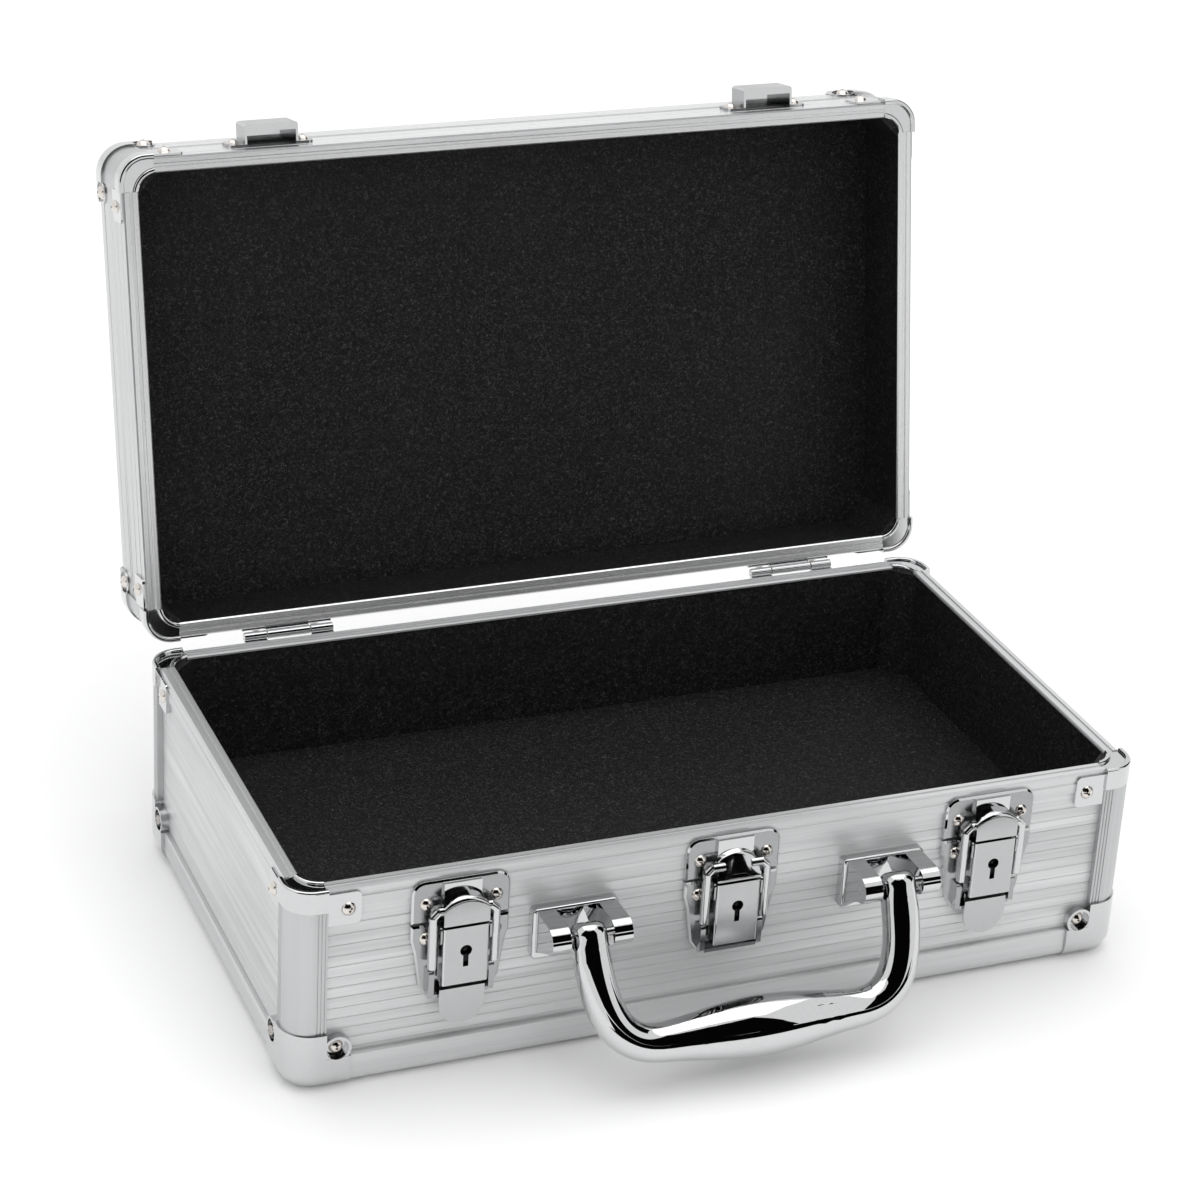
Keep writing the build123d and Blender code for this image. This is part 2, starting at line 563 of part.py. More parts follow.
lid_corner_body = lid_corner_body - plate(-1, LID_H + 5, LID_FIELD_EDGE, 0)
lid_lug_places = [wall_place(side, sign * half_length(side, LUG_X), LID_LUG_W, LID_LUG_T)
                  for side, sign in side_signs()]
lid_lugs = merge([place.location * (Pos(0, 0, -LID_LUG_T / 2) * Cylinder(LID_LUG_R, LID_LUG_T))
                  for place in lid_lug_places])
lid_lugs = lid_lugs & merge([lid_leg_zone_x, lid_leg_zone_y])
lid_outer_corners = merge([lid_corner_body & box for box in four_corners(LID_BALL_LEG, -1, LID_H + 5)]
                          + [lid_lugs])
for place in lid_lug_places:
    lid_outer_corners = lid_outer_corners - place.location * (Pos(0, 0, 5) * Cylinder(LID_POCKET_R, 10))

lid_tab_places = [wall_place(side, sign * half_length(side, LID_TAB_RIVET), LID_TAB_RIVET_W, TAB_T)
                  for side, sign in side_signs()]

# ---------------------------------------------------------------- strikes on the lid
strikes = []
strike_places = []
for x in STRIKE_X:
    foot_face = wall_place("front", x, (STRIKE_W0 + STRIKE_W1) / 2, 0)
    height = STRIKE_W1 - STRIKE_W0
    foot = extrude(foot_face * RectangleRounded(2 * STRIKE_HALF, height, 2.5), STRIKE_T)
    out_y = -HALF_D - BRIDGE_OUT
    bridge = block(x - BRIDGE_HALF, x + BRIDGE_HALF, out_y, -HALF_D, STRIKE_W0, STRIKE_W1)
    bridge = fillet(bridge.edges().filter_by(Axis.Z).group_by(Axis.Y)[0], 1.2)
    inner = block(x - BRIDGE_HALF + BRIDGE_T, x + BRIDGE_HALF - BRIDGE_T, out_y + BRIDGE_T,
                  -HALF_D + 1, STRIKE_W0 - 1, STRIKE_W1 - BRIDGE_T)
    lip = block(x - BRIDGE_HALF + BRIDGE_T, x + BRIDGE_HALF - BRIDGE_T, out_y + BRIDGE_T / 2,
                out_y + BRIDGE_T + BRIDGE_LIP, STRIKE_W0, STRIKE_W0 + BRIDGE_T)
    strikes.append(foot + bridge - inner + lip)
    strike_places += [wall_place("front", x + s * STRIKE_RIVET_X, (STRIKE_W0 + STRIKE_W1) / 2, STRIKE_T)
                      for s in (-1, 1)]

# ---------------------------------------------------------------- hinges
def knuckles(x, spans, axis_z, leaf_z0, leaf_z1, web_z0, web_z1):
    """One hinge leaf on the back wall with its barrel knuckles."""
    leaf = block(x - HINGE_HALF, x + HINGE_HALF, HALF_D, HALF_D + LEAF_T, leaf_z0, leaf_z1)
    pieces = [leaf]
    for x0, x1 in spans:
        pieces.append(block(x + x0, x + x1, HALF_D, AXIS_Y, web_z0, web_z1))
        barrel = Pos(x + (x0 + x1) / 2, AXIS_Y, axis_z) * (Rot(0, 90, 0) * Cylinder(BARREL_R, x1 - x0))
        pieces.append(barrel)
    bore = Pos(x, AXIS_Y, axis_z) * (Rot(0, 90, 0)
                                     * Cylinder(HINGE_PIN_R + HOLE_CLEAR, 3 * HINGE_HALF))
    return merge(pieces) - bore


outer_spans = [(-HINGE_HALF, -HINGE_MID), (HINGE_MID, HINGE_HALF)]
middle_span = [(-HINGE_MID + KNUCKLE_GAP, HINGE_MID - KNUCKLE_GAP)]
base_leaves = [knuckles(s * HINGE_X, outer_spans, AXIS_Z, BASE_H - 1 - LEAF_H, BASE_H - 1,
                        BASE_H - 1.7, BASE_H - 0.3) for s in (-1, 1)]
lid_leaves = [knuckles(s * HINGE_X, middle_span, AXIS_Z - LID_Z, 1, 1 + LEAF_H, 0.3, 1.7)
              for s in (-1, 1)]
hinge_pins = [Pos(s * HINGE_X, AXIS_Y, AXIS_Z) * (Rot(0, 90, 0)
              * Cylinder(HINGE_PIN_R, 2 * HINGE_HALF)) for s in (-1, 1)]
base_leaf_places = [wall_place("back", s * HINGE_X + dx, BASE_H - 1 - LEAF_H / 2, LEAF_T)
                    for s in (-1, 1) for dx in (-LEAF_RIVET_X, 0.0, LEAF_RIVET_X)]
lid_leaf_places = [wall_place("back", s * HINGE_X + dx, 1 + LEAF_H / 2, LEAF_T)
                   for s in (-1, 1) for dx in (-LEAF_RIVET_X, 0.0, LEAF_RIVET_X)]

# ---------------------------------------------------------------- latches
FACE_Y = -HALF_D
plate_front = FACE_Y - PLATE_PROUD


def front_slab(x, points, y0, y1):
    """Flat piece parallel to the front wall, outlined in X and Z."""
    outline = make_face(loop([(x + px, pz) for px, pz in points]))
    return extrude(Plane(origin=(0, y1, 0), x_dir=(1, 0, 0), z_dir=(0, -1, 0)) * outline, y1 - y0)


def upper_plate(x):
    face = Plane(origin=(x, FACE_Y, (PLATE_SPLIT + PLATE_SLOT + PLATE_Z1) / 2), x_dir=(1, 0, 0),
                 z_dir=(0, -1, 0))
    height = PLATE_Z1 - PLATE_SPLIT - PLATE_SLOT
    outline = Rectangle(2 * PLATE_HALF, height)
    outline = fillet(outline.vertices().sort_by(Axis.Y)[-2:], PLATE_TOP_R)
    slab = extrude(face * outline, PLATE_PROUD)
    slab = chamfer(slab.faces().sort_by(Axis.Y)[0].edges(), PLATE_BEVEL)
    back = block(x - PLATE_HALF, x + PLATE_HALF, FACE_Y, FACE_Y + FLANGE_T,
                 PLATE_SPLIT + PLATE_SLOT, FLANGE_Z)
    return slab + back


def lower_plate(x):
    half = [(PLATE_HALF, PLATE_SPLIT)] + [(px, BASE_H - drop) for px, drop in PLATE_SIDE]
    outline = half + [(-px, pz) for px, pz in reversed(half)]
    slab = front_slab(x, outline, plate_front, FACE_Y + FLANGE_T)
    slab = chamfer(slab.faces().sort_by(Axis.Y)[0].edges(), PLATE_BEVEL)
    pieces = [slab]
    for s in (-1, 1):
        ear_x = sorted((x + s * EAR_X, x + s * (EAR_X + EAR_T)))
        ear = block(*ear_x, FACE_Y - PIVOT_OUT - EAR_RIM, plate_front, EAR_Z0, EAR_Z1)
        pieces.append(fillet(ear.edges().filter_by(Axis.X).group_by(Axis.Y)[0], EAR_RIM - 0.1))
        wing_x = sorted((x + s * WING_X, x + s * (WING_X + WING_T)))
        wing = block(*wing_x, FACE_Y - WING_OUT, plate_front, WING_Z0, WING_Z1)
        pieces.append(fillet(wing.edges().filter_by(Axis.X).group_by(Axis.Y)[0], LIP_T))
    lip_y = FACE_Y - TONGUE_OUT + TONGUE_T + TONGUE_GAP
    pieces.append(block(x - WING_X, x + WING_X, lip_y, plate_front, WING_Z0, WING_Z0 + LIP_T))
    bore = Pos(x, FACE_Y - PIVOT_OUT, PIVOT_Z) * (Rot(0, 90, 0)
                                                  * Cylinder(LATCH_PIN_R + HOLE_CLEAR, 3 * EAR_X))
    return merge(pieces) - bore


def latch_pin(x):
    return Pos(x, FACE_Y - PIVOT_OUT, PIVOT_Z) * (Rot(0, 90, 0)
                                                  * Cylinder(LATCH_PIN_R, 2 * (EAR_X + EAR_T)))


def arch(x, y, half, z0, side_z, rise):
    """Upright outline with an arched top edge, in a plane parallel to the front wall."""
    outline = [Line((x - half, z0), (x + half, z0)), Line((x + half, z0), (x + half, side_z)),
               ThreePointArc((x + half, side_z), (x, side_z + rise), (x - half, side_z)),
               Line((x - half, side_z), (x - half, z0))]
    return Plane(origin=(0, y, 0), x_dir=(1, 0, 0), z_dir=(0, -1, 0)) * make_face(outline)


def hood_outline(x, out, side_z, rise):
    """Section of the hood at one distance from the wall; it narrows toward the plate."""
    share = (out - PLATE_PROUD) / (COVER_PROUD - PLATE_PROUD)
    half = HOOD_TOP_HALF + share * (COVER_HALF - HOOD_TOP_HALF)
    return arch(x, FACE_Y - out, half, HOOD_Z0, side_z, rise)


def hook(x, lean):
    """Sliding hook: arched hood, two round side arms and a guide strip behind the cover."""
    outlines = [hood_outline(x, COVER_PROUD, MID_HOOD_FOOT, MID_HOOD_ARCH)] if lean else []
    start = math.degrees(math.atan2(lean, HOOD_BEND - MID_HOOD_FOOT + HOOD_ARCH))
    for i in range(HOOD_STEPS + 1):
        angle = math.radians(start + (HOOD_TURN - start) * i / HOOD_STEPS)
        outlines.append(hood_outline(
            x, COVER_PROUD - lean - HOOD_R * (math.cos(math.radians(start)) - math.cos(angle)),
            HOOD_BEND + HOOD_R * (math.sin(angle) - math.sin(math.radians(start))), HOOD_ARCH))
    outlines.append(hood_outline(x, PLATE_PROUD, HOOD_BACK_Z, HOOD_ARCH))
    hood = loft(outlines, ruled=True)
    pieces = [hood, block(x - STRIP_HALF, x + STRIP_HALF, plate_front - STRIP_T, plate_front,
                          STRIP_Z0, HOOD_Z0),
              block(x - HOOD_BLOCK_HALF, x + HOOD_BLOCK_HALF, FACE_Y - HOOD_BLOCK_OUT - STRIP_T,
                    plate_front, HOOD_BEND, HOOD_BLOCK_Z1)]
    arm_y = FACE_Y - ARM_OUT
    for s in (-1, 1):
        path = Polyline((x + s * ARM_X, arm_y, ARM_Z0), (x + s * ARM_X, arm_y, ARM_Z1 - ARM_TURN),
                        (x + s * (ARM_X - ARM_TURN), arm_y, ARM_Z1),
                        (x + s * (HOOD_TOP_HALF - 2.0), arm_y, ARM_Z1))
        start = Plane(origin=path @ 0, z_dir=path % 0)
        pieces.append(sweep(start * Circle(ARM_R), path=path, transition=Transition.ROUND))
    return merge(pieces)


def lever(x, bottom, tongue):
    """Cover with the keyhole, a lock boss behind it and, on the outer latches, a finger tongue."""
    front = FACE_Y - COVER_PROUD
    back = FACE_Y - COVER_BACK
    cover = block(x - COVER_HALF, x + COVER_HALF, front, back, bottom, COVER_Z1)
    cover = fillet(cover.edges().filter_by(Axis.Z).group_by(Axis.Y)[0], 0.8)
    hollow = block(x - COVER_HALF + SHELL_T, x + COVER_HALF - SHELL_T, front + SHELL_T, back + 1,
                   bottom + SHELL_T, COVER_Z1 - 3.0)
    boss = Pos(x, front + SHELL_T + 1.8, KEY_Z) * (Rot(90, 0, 0) * Cylinder(BOSS_R, 3.6))
    part = (cover - hollow) + boss
    if tongue:
        tongue_y = FACE_Y - TONGUE_OUT
        end_z = TONGUE_Z0 + COVER_HALF
        top_z = bottom - TONGUE_DROP
        flat = block(x - COVER_HALF, x + COVER_HALF, tongue_y, tongue_y + TONGUE_T, end_z, top_z)
        end = Pos(x, tongue_y + TONGUE_T / 2, end_z) * (Rot(90, 0, 0) * Cylinder(COVER_HALF, TONGUE_T))
        end = end & block(x - CASE_W, x + CASE_W, -CASE_D, 0, 0, end_z)
        neck = block(x - TONGUE_NECK_HALF, x + TONGUE_NECK_HALF, back - TONGUE_T, back,
                     top_z - TONGUE_T, bottom + SHELL_T)
        shelf = block(x - TONGUE_NECK_HALF, x + TONGUE_NECK_HALF, tongue_y + TONGUE_T / 2, back,
                      top_z - TONGUE_T, top_z)
        part = merge([part, flat, end, neck, shelf])
    keyhole = Pos(x, front, KEY_Z) * (Rot(90, 0, 0) * Cylinder(KEY_R, 4 * SHELL_T))
    slot = block(x - KEY_SLOT_W / 2, x + KEY_SLOT_W / 2, front - 1, front + SHELL_T + 0.2, KEY_SLOT_Z0, KEY_Z)
    plug_bore = Pos(x, front + SHELL_T + 2.5, KEY_Z) * (Rot(90, 0, 0) * Cylinder(PLUG_R + PLUG_FIT, 5))
    pin_bore = Pos(x, FACE_Y - PIVOT_OUT, PIVOT_Z) * (Rot(0, 90, 0)
                                                      * Cylinder(LATCH_PIN_R + HOLE_CLEAR, 3 * EAR_X))
    return part - keyhole - slot - plug_bore - pin_bore


def plug(x):
    """Lock plug behind the cover, with its key post and the cam that holds the cover."""
    front = FACE_Y - COVER_PROUD + SHELL_T
    across = Rot(90, 0, 0)
    body = Pos(x, front + PLUG_GAP + PLUG_LEN / 2, KEY_Z) * (across * Cylinder(PLUG_R, PLUG_LEN))
    well = Pos(x, front + WELL_DEPTH / 2, KEY_Z) * (across * Cylinder(KEY_R, WELL_DEPTH))
    post = Pos(x, front + WELL_DEPTH / 2, KEY_Z) * (across * Cylinder(KEY_POST_R, WELL_DEPTH))
    cam_y = front + PLUG_GAP + PLUG_LEN - 0.35
    cam = block(x - CAM_HALF, x + CAM_HALF, cam_y, cam_y + CAM_T, KEY_Z - CAM_REACH, KEY_Z + CAM_HALF)
    return (body - well) + post + cam


hooks = [hook(x, MID_HOOD_LEAN if x == 0 else 0) for x in LATCH_X]
levers = [lever(x, MID_COVER_Z0 if x == 0 else COVER_Z0, x != 0) for x in LATCH_X]
plugs = [plug(x) for x in LATCH_X]
upper_plates = [upper_plate(x) for x in LATCH_X]
lower_plates = [lower_plate(x) for x in LATCH_X]
latch_pins = [latch_pin(x) for x in LATCH_X]
latch_places = [wall_place("front", x + s * LATCH_RIVET_X, z, PLATE_PROUD)
                for x in LATCH_X for s in (-1, 1) for z in LATCH_RIVET_Z]

# ---------------------------------------------------------------- handle
pivot_y = FACE_Y - HANDLE_OUT


def bracket(x):
    foot = block(x - BRACKET_HALF, x + BRACKET_HALF, FACE_Y - BRACKET_T, FACE_Y + FLANGE_T,
                 BRACKET_Z0, BRACKET_Z1)
    foot = fillet(foot.edges().filter_by(Axis.Y), 2.0)
    foot = fillet(foot.faces().sort_by(Axis.Y)[0].edges(), BRACKET_ROUND)
    side = make_face(loop([(FACE_Y - BRACKET_T + 0.5, BRACKET_Z1 - 0.6), (pivot_y, HANDLE_Z + EAR_END_R),
                           (pivot_y, HANDLE_Z - EAR_END_R), (FACE_Y - BRACKET_T + 0.5, BRACKET_Z0 + 3.0)]))
    side = side + Pos(pivot_y, HANDLE_Z) * Circle(EAR_END_R)
    pieces = [foot]
    for s in (-1, 1):
        x0 = min(x + s * EAR_IN, x + s * EAR_OUT)
        ear = extrude(Plane(origin=(x0, 0, 0), x_dir=(0, 1, 0), z_dir=(1, 0, 0)) * side, EAR_OUT - EAR_IN)
        pieces.append(ear)
    bore = Pos(x, pivot_y, HANDLE_Z) * (Rot(0, 90, 0) * Cylinder(HANDLE_PIN_R + HOLE_CLEAR, 4 * EAR_OUT))
    return merge(pieces) - bore


def handle_grip():
    """Bent tube that swells towards its middle, drawn hanging and then leaned forward."""
    bend = Bezier((HANDLE_X, 0, 0), (HANDLE_X, 0, -HANDLE_TURN),
                  (HANDLE_X - 4.0, 0, -HANDLE_L), (GRIP_HALF, 0, -HANDLE_L))
    half = HANDLE_STATIONS // 2
    line = [(Vector(GRIP_HALF * i / half, 0, -HANDLE_L), Vector(1, 0, 0)) for i in range(half)]
    line += [(bend @ (1 - i / half), bend % (1 - i / half) * -1) for i in range(half + 1)]
    line = [(Vector(-at.X, 0, at.Z), Vector(way.X, 0, -way.Z)) for at, way in reversed(line[1:])] + line
    sections = []
    for at, way in line:
        swell = math.cos(math.pi / 2 * min(1.0, abs(at.X) / SWELL_HALF)) ** 2
        radius = TUBE_R + (GRIP_R - TUBE_R) * swell
        sections.append(Plane(origin=at, x_dir=(0, 1, 0), z_dir=way) * Circle(radius))
    pieces = [loft(sections)]
    for s in (-1, 1):
        tube_end = Pos(s * HANDLE_X, 0, TUBE_END_H / 2) * Cylinder(TUBE_R, TUBE_END_H)
        pieces.append(fillet(tube_end.edges().sort_by(Axis.Z)[-1], TUBE_END_R))
    grip = merge(pieces)
    for s in (-1, 1):
        bore = Rot(0, 90, 0) * Cylinder(HANDLE_PIN_R + HOLE_CLEAR, 4 * EAR_OUT)
        grip = grip - Pos(s * HANDLE_X, 0, 0) * bore
    return Pos(0, pivot_y, HANDLE_Z) * (Rot(-HANDLE_LEAN, 0, 0) * grip)


brackets = {name: bracket(x) for name, x in (("left", -HANDLE_X), ("right", HANDLE_X))}
handle = handle_grip()
handle_pins = [Pos(s * HANDLE_X, pivot_y, HANDLE_Z) * (Rot(0, 90, 0) * Cylinder(HANDLE_PIN_R, 2 * EAR_OUT))
               for s in (-1, 1)]
bracket_places = [wall_place("front", s * HANDLE_X + dx, BRACKET_RIVET_Z, BRACKET_T)
                  for s in (-1, 1) for dx in (-BRACKET_RIVET_X, BRACKET_RIVET_X)]

# ---------------------------------------------------------------- rivets and their holes
WALL_END = LINING_U
corner_rivets = (rivets(tab_places, RIVET_R, TAB_T + WALL_END)
                 + rivets(lug_places, RIVET_R, WALL_END - POCKET_FLOOR))
latch_rivets = rivets(latch_places, SMALL_RIVET_R, PLATE_PROUD + WALL_END)
bracket_rivets = rivets(bracket_places, SMALL_RIVET_R, BRACKET_T + WALL_END)
base_hinge_rivets = rivets(base_leaf_places, SMALL_RIVET_R, LEAF_T + WALL_END)
lid_corner_rivets = (rivets(lid_tab_places, RIVET_R, TAB_T + LID_LINING_U)
                     + rivets(lid_lug_places, RIVET_R, LID_LUG_T + LID_LINING_U))
strike_rivets = rivets(strike_places, SMALL_RIVET_R, STRIKE_T + LID_LINING_U)
lid_hinge_rivets = rivets(lid_leaf_places, SMALL_RIVET_R, LEAF_T + LID_LINING_U)

DRILL = 8.0
base_places = tab_places + lug_places + latch_places + bracket_places + base_leaf_places
lid_places = lid_tab_places + lid_lug_places + strike_places + lid_leaf_places


def on_side(places, side):
    inward = SIDES[side][1]
    return [place for place in places if (place.z_dir + inward).length < 0.1]


nodes = {}
for i, side in enumerate(SIDES):
    holes = on_side(base_places, side)
    nodes[f"base_panel_{side}"] = [drilled(base_panels[side], holes, DRILL)]
    wall_boards[i] = drilled(wall_boards[i], holes, DRILL)
    rim_rails[i] = drilled(rim_rails[i], on_side(tab_places + base_leaf_places + latch_places, side), DRILL)
    lid_holes = on_side(lid_places, side)
    nodes[f"lid_wall_{side}"] = [shut(drilled(lid_walls[side], lid_holes, DRILL))]
    lid_wall_boards[i] = shut(drilled(lid_wall_boards[i], lid_holes, DRILL))

nodes["base_bottom_panel"] = [bottom_panel]
nodes["base_rim_rails"] = rim_rails
nodes["base_bottom_rails"] = bottom_rails
nodes["base_corner_posts"] = corner_posts
nodes["base_top_corners"] = [drilled(top_corners, tab_places, DRILL)]
nodes["base_bottom_corners"] = [drilled(bottom_corners, lug_places, DRILL)]
nodes["base_wall_boards"] = wall_boards
nodes["base_bottom_board"] = [bottom_board]
nodes["base_floor_foam"] = [floor_foam]
nodes["base_floor_lining"] = [floor_lining]
nodes["base_wall_linings"] = wall_linings
nodes["base_corner_fillers"] = corner_fillers
nodes["base_corner_rivets"] = corner_rivets
nodes["latch_upper_plates"] = [drilled(merge(upper_plates), latch_places, DRILL)]
nodes["latch_lower_plates"] = [drilled(merge(lower_plates), latch_places, DRILL)]
nodes["latch_rivets"] = latch_rivets
nodes["latch_pins"] = latch_pins
for name, hook_part, lever_part, plug_part in zip(LATCH_NAME, hooks, levers, plugs):
    nodes[f"latch_hook_{name}"] = [hook_part]
    nodes[f"latch_lever_{name}"] = [lever_part]
    nodes[f"latch_plug_{name}"] = [plug_part]
for name, part in brackets.items():
    nodes[f"handle_bracket_{name}"] = [drilled(part, bracket_places, DRILL)]
nodes["handle_bracket_rivets"] = bracket_rivets
nodes["handle_pins"] = handle_pins
nodes["handle_grip"] = [handle]
nodes["base_hinge_leaves"] = [drilled(merge(base_leaves), base_leaf_places, DRILL)]
nodes["base_hinge_rivets"] = base_hinge_rivets
nodes["hinge_pins"] = hinge_pins

nodes["lid_top_panel"] = [lid_panel]
nodes["lid_wall_boards"] = lid_wall_boards
nodes["lid_top_board"] = [lid_top_board]
nodes["lid_ceiling_foam"] = [lid_foam]
nodes["lid_ceiling_lining"] = [lid_ceiling]
nodes["lid_wall_linings"] = lid_linings
nodes["lid_corner_fillers"] = lid_fillers
nodes["lid_corner_posts"] = lid_posts
nodes["lid_rim_corners"] = [shut(drilled(lid_rim_corners, lid_tab_places, DRILL))]
nodes["lid_outer_corners"] = [shut(drilled(lid_outer_corners, lid_lug_places, DRILL))]
nodes["lid_corner_rivets"] = [shut(piece) for piece in lid_corner_rivets]
nodes["lid_strikes"] = [shut(drilled(merge(strikes), strike_places, DRILL))]
nodes["lid_strike_rivets"] = [shut(piece) for piece in strike_rivets]
nodes["lid_hinge_leaves"] = [shut(drilled(merge(lid_leaves), lid_leaf_places, DRILL))]
nodes["lid_hinge_rivets"] = [shut(piece) for piece in lid_hinge_rivets]

hinge_axis = Axis((0, AXIS_Y, AXIS_Z), (-1, 0, 0))
os.makedirs("parts", exist_ok=True)
for name, pieces in nodes.items():
    solids = [solid for piece in pieces for solid in piece.solids()]
    if name.startswith("lid_"):
        solids = [solid.rotate(hinge_axis, LID_OPEN) for solid in solids]
    shape = solids[0] if len(solids) == 1 else Compound(children=solids)
    export_step(shape, f"parts/{name}.step")
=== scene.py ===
import bpy
import math
from mathutils import Matrix, Vector

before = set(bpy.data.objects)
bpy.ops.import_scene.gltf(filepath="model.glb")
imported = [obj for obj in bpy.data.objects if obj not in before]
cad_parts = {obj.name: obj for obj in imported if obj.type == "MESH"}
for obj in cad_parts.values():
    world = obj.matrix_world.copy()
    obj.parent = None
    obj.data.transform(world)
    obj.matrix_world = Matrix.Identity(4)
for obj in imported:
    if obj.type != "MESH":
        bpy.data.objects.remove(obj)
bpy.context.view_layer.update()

# ------------------------------------------------------------------ places on the case, in metres
MM = 0.001
HINGE_AXIS = Vector((0, 0.0968, 0.0828))
LID_LEAN = math.radians(11.0)                 # the open lid leans back from upright
LID_UP = Vector((0, math.sin(LID_LEAN), math.cos(LID_LEAN)))
LID_REACH = 0.1908                            # hinge axis to the lid's front wall, outside
LID_HALF_WIDTH = 0.165
GROOVE_IN = (0.15 * MM, 0.6 * MM)             # groove floors lie this far inside the lid's faces
WALL_FRONT = -0.094                           # outside of the base's front wall
SIDE_RAILS = 0.1445                           # rails further out than this run along Y
LATCH_X = {"left": -0.104, "middle": 0.0, "right": 0.104}
LATCH_HALF_WIDTH = 8.6 * MM                   # hood and cover, without the side arms
LATCH_FACE_OUT = 3.5 * MM                     # hood and cover faces are further from the wall
HOOK_INSIDE_OUT, HOOK_INSIDE_TOP = 2.6 * MM, 0.0642    # the hook behind the cover is within these
KEYHOLE_OUT, KEYHOLE_FOOT = 7.15 * MM, 0.0373          # front faces behind the cover's own face

SQUARE_ON, NEARLY_ON = 0.97, 0.9              # least share of a normal along an axis


# ------------------------------------------------------------------ shader helpers
def new_material(name):
    mat = bpy.data.materials.new(name)
    mat.use_nodes = True
    tree = mat.node_tree
    return mat, tree, tree.nodes["Principled BSDF"]


def coordinates(tree, stretch=(1, 1, 1), tilt=0.0):
    """Object coordinates, turned about X and stretched: noise on them is grain along one axis."""
    where = tree.nodes.new("ShaderNodeTexCoord")
    turned = tree.nodes.new("ShaderNodeMapping")
    turned.inputs["Rotation"].default_value = (tilt, 0, 0)
    tree.links.new(where.outputs["Object"], turned.inputs["Vector"])
    stretched = tree.nodes.new("ShaderNodeMapping")
    stretched.inputs["Scale"].default_value = stretch
    tree.links.new(turned.outputs["Vector"], stretched.inputs["Vector"])
    return stretched.outputs["Vector"]


def noise(tree, where, scale, detail, roughness, distortion=0.0):
    made = tree.nodes.new("ShaderNodeTexNoise")
    made.inputs["Scale"].default_value = scale
    made.inputs["Detail"].default_value = detail
    made.inputs["Roughness"].default_value = roughness
    made.inputs["Distortion"].default_value = distortion
    tree.links.new(where, made.inputs["Vector"])
    return made.outputs["Fac"]


def calculate(tree, operation, first, second):
    """A math node on an output and on another output or a number."""
    made = tree.nodes.new("ShaderNodeMath")
    made.operation = operation
    tree.links.new(first, made.inputs[0])
    if isinstance(second, float):
        made.inputs[1].default_value = second
    else:
        tree.links.new(second, made.inputs[1])
    return made.outputs["Value"]


def spread(tree, source, low, high, from_low=0.3, from_high=0.7):
    """The source, with from_low..from_high mapped onto low..high."""
    made = tree.nodes.new("ShaderNodeMapRange")
    made.inputs["From Min"].default_value = from_low
    made.inputs["From Max"].default_value = from_high
    made.inputs["To Min"].default_value = low
    made.inputs["To Max"].default_value = high
    tree.links.new(source, made.inputs["Value"])
    return made.outputs["Result"]


def colour_by(tree, shader, source, *stops):
    """The shader's base colour from the source, by (position, colour) stops."""
    made = tree.nodes.new("ShaderNodeValToRGB")
    elements = made.color_ramp.elements
    while len(elements) < len(stops):
        elements.new(0.5)
    for element, (position, colour) in zip(elements, stops):
        element.position = position
        element.color = (*colour, 1)
    tree.links.new(source, made.inputs["Fac"])
    tree.links.new(made.outputs["Color"], shader.inputs["Base Color"])


def bump(tree, shader, source, distance, strength):
    made = tree.nodes.new("ShaderNodeBump")
    made.inputs["Strength"].default_value = strength
    made.inputs["Distance"].default_value = distance
    tree.links.new(source, made.inputs["Height"])
    tree.links.new(made.outputs["Normal"], shader.inputs["Normal"])


# ------------------------------------------------------------------ materials
def brushed(name, light, dark, along, rough, grain=1200.0, depth=0.000002, anisotropic=0.4,
            tilt=0.0, metallic=0.85):
    """Metal brushed along one axis, x, y or z: fine and broad streaks over faint clouds."""
    mat, tree, shader = new_material(name)

    def streaks(scale, length, detail, roughness):
        stretch = tuple(length if axis == along else 1 for axis in "xyz")
        return noise(tree, coordinates(tree, stretch, tilt), scale, detail, roughness)

    fine = streaks(grain, 0.012, 3.0, 0.6)
    broad = streaks(grain * 0.2, 0.03, 2.0, 0.5)
    clouds = streaks(25.0, 0.3, 2.0, 0.5)
    total = calculate(tree, "ADD", calculate(tree, "ADD", fine, broad), clouds)
    mean = calculate(tree, "MULTIPLY", total, 1 / 3)
    colour_by(tree, shader, mean, (0.36, dark), (0.6, light))
    smooth, coarse = rough
    tree.links.new(spread(tree, mean, coarse, smooth, 0.38, 0.62), shader.inputs["Roughness"])
    bump(tree, shader, fine, depth, 0.5)
    shader.inputs["Metallic"].default_value = metallic
    shader.inputs["Anisotropic"].default_value = anisotropic
    return mat


def polished(name, colour, rough):
    """Plated metal with faint smears and fine wear."""
    mat, tree, shader = new_material(name)
    where = coordinates(tree)
    smears = noise(tree, where, 60.0, 4.0, 0.6)
    specks = noise(tree, where, 1080.0, 2.0, 0.7)
    tree.links.new(spread(tree, smears, *rough, 0.35, 0.7), shader.inputs["Roughness"])
    worn = tuple(part * 0.964 for part in colour)
    colour_by(tree, shader, specks, (0.3, worn), (0.6, colour))
    bump(tree, shader, specks, 0.000004, 0.25)
    shader.inputs["Metallic"].default_value = 1.0
    return mat


def lining(name):
    """Black sheet with a fine mottled grain."""
    mat, tree, shader = new_material(name)
    where = coordinates(tree)
    mottle = noise(tree, where, 900.0, 1.0, 0.5, distortion=1.2)
    fine = noise(tree, where, 2600.0, 2.0, 0.6)
    grain = calculate(tree, "MULTIPLY", mottle, fine)
    clouds = noise(tree, where, 14.0, 3.0, 0.5)
    colour_by(tree, shader, grain, (0.16, (0.002, 0.002, 0.0021)), (0.3, (0.01, 0.01, 0.0103)),
              (0.42, (0.055, 0.055, 0.056)))
    tree.links.new(spread(tree, clouds, 0.62, 0.8), shader.inputs["Roughness"])
    bump(tree, shader, grain, 0.0004, 0.7)
    shader.inputs["Specular IOR Level"].default_value = 0.3
    return mat


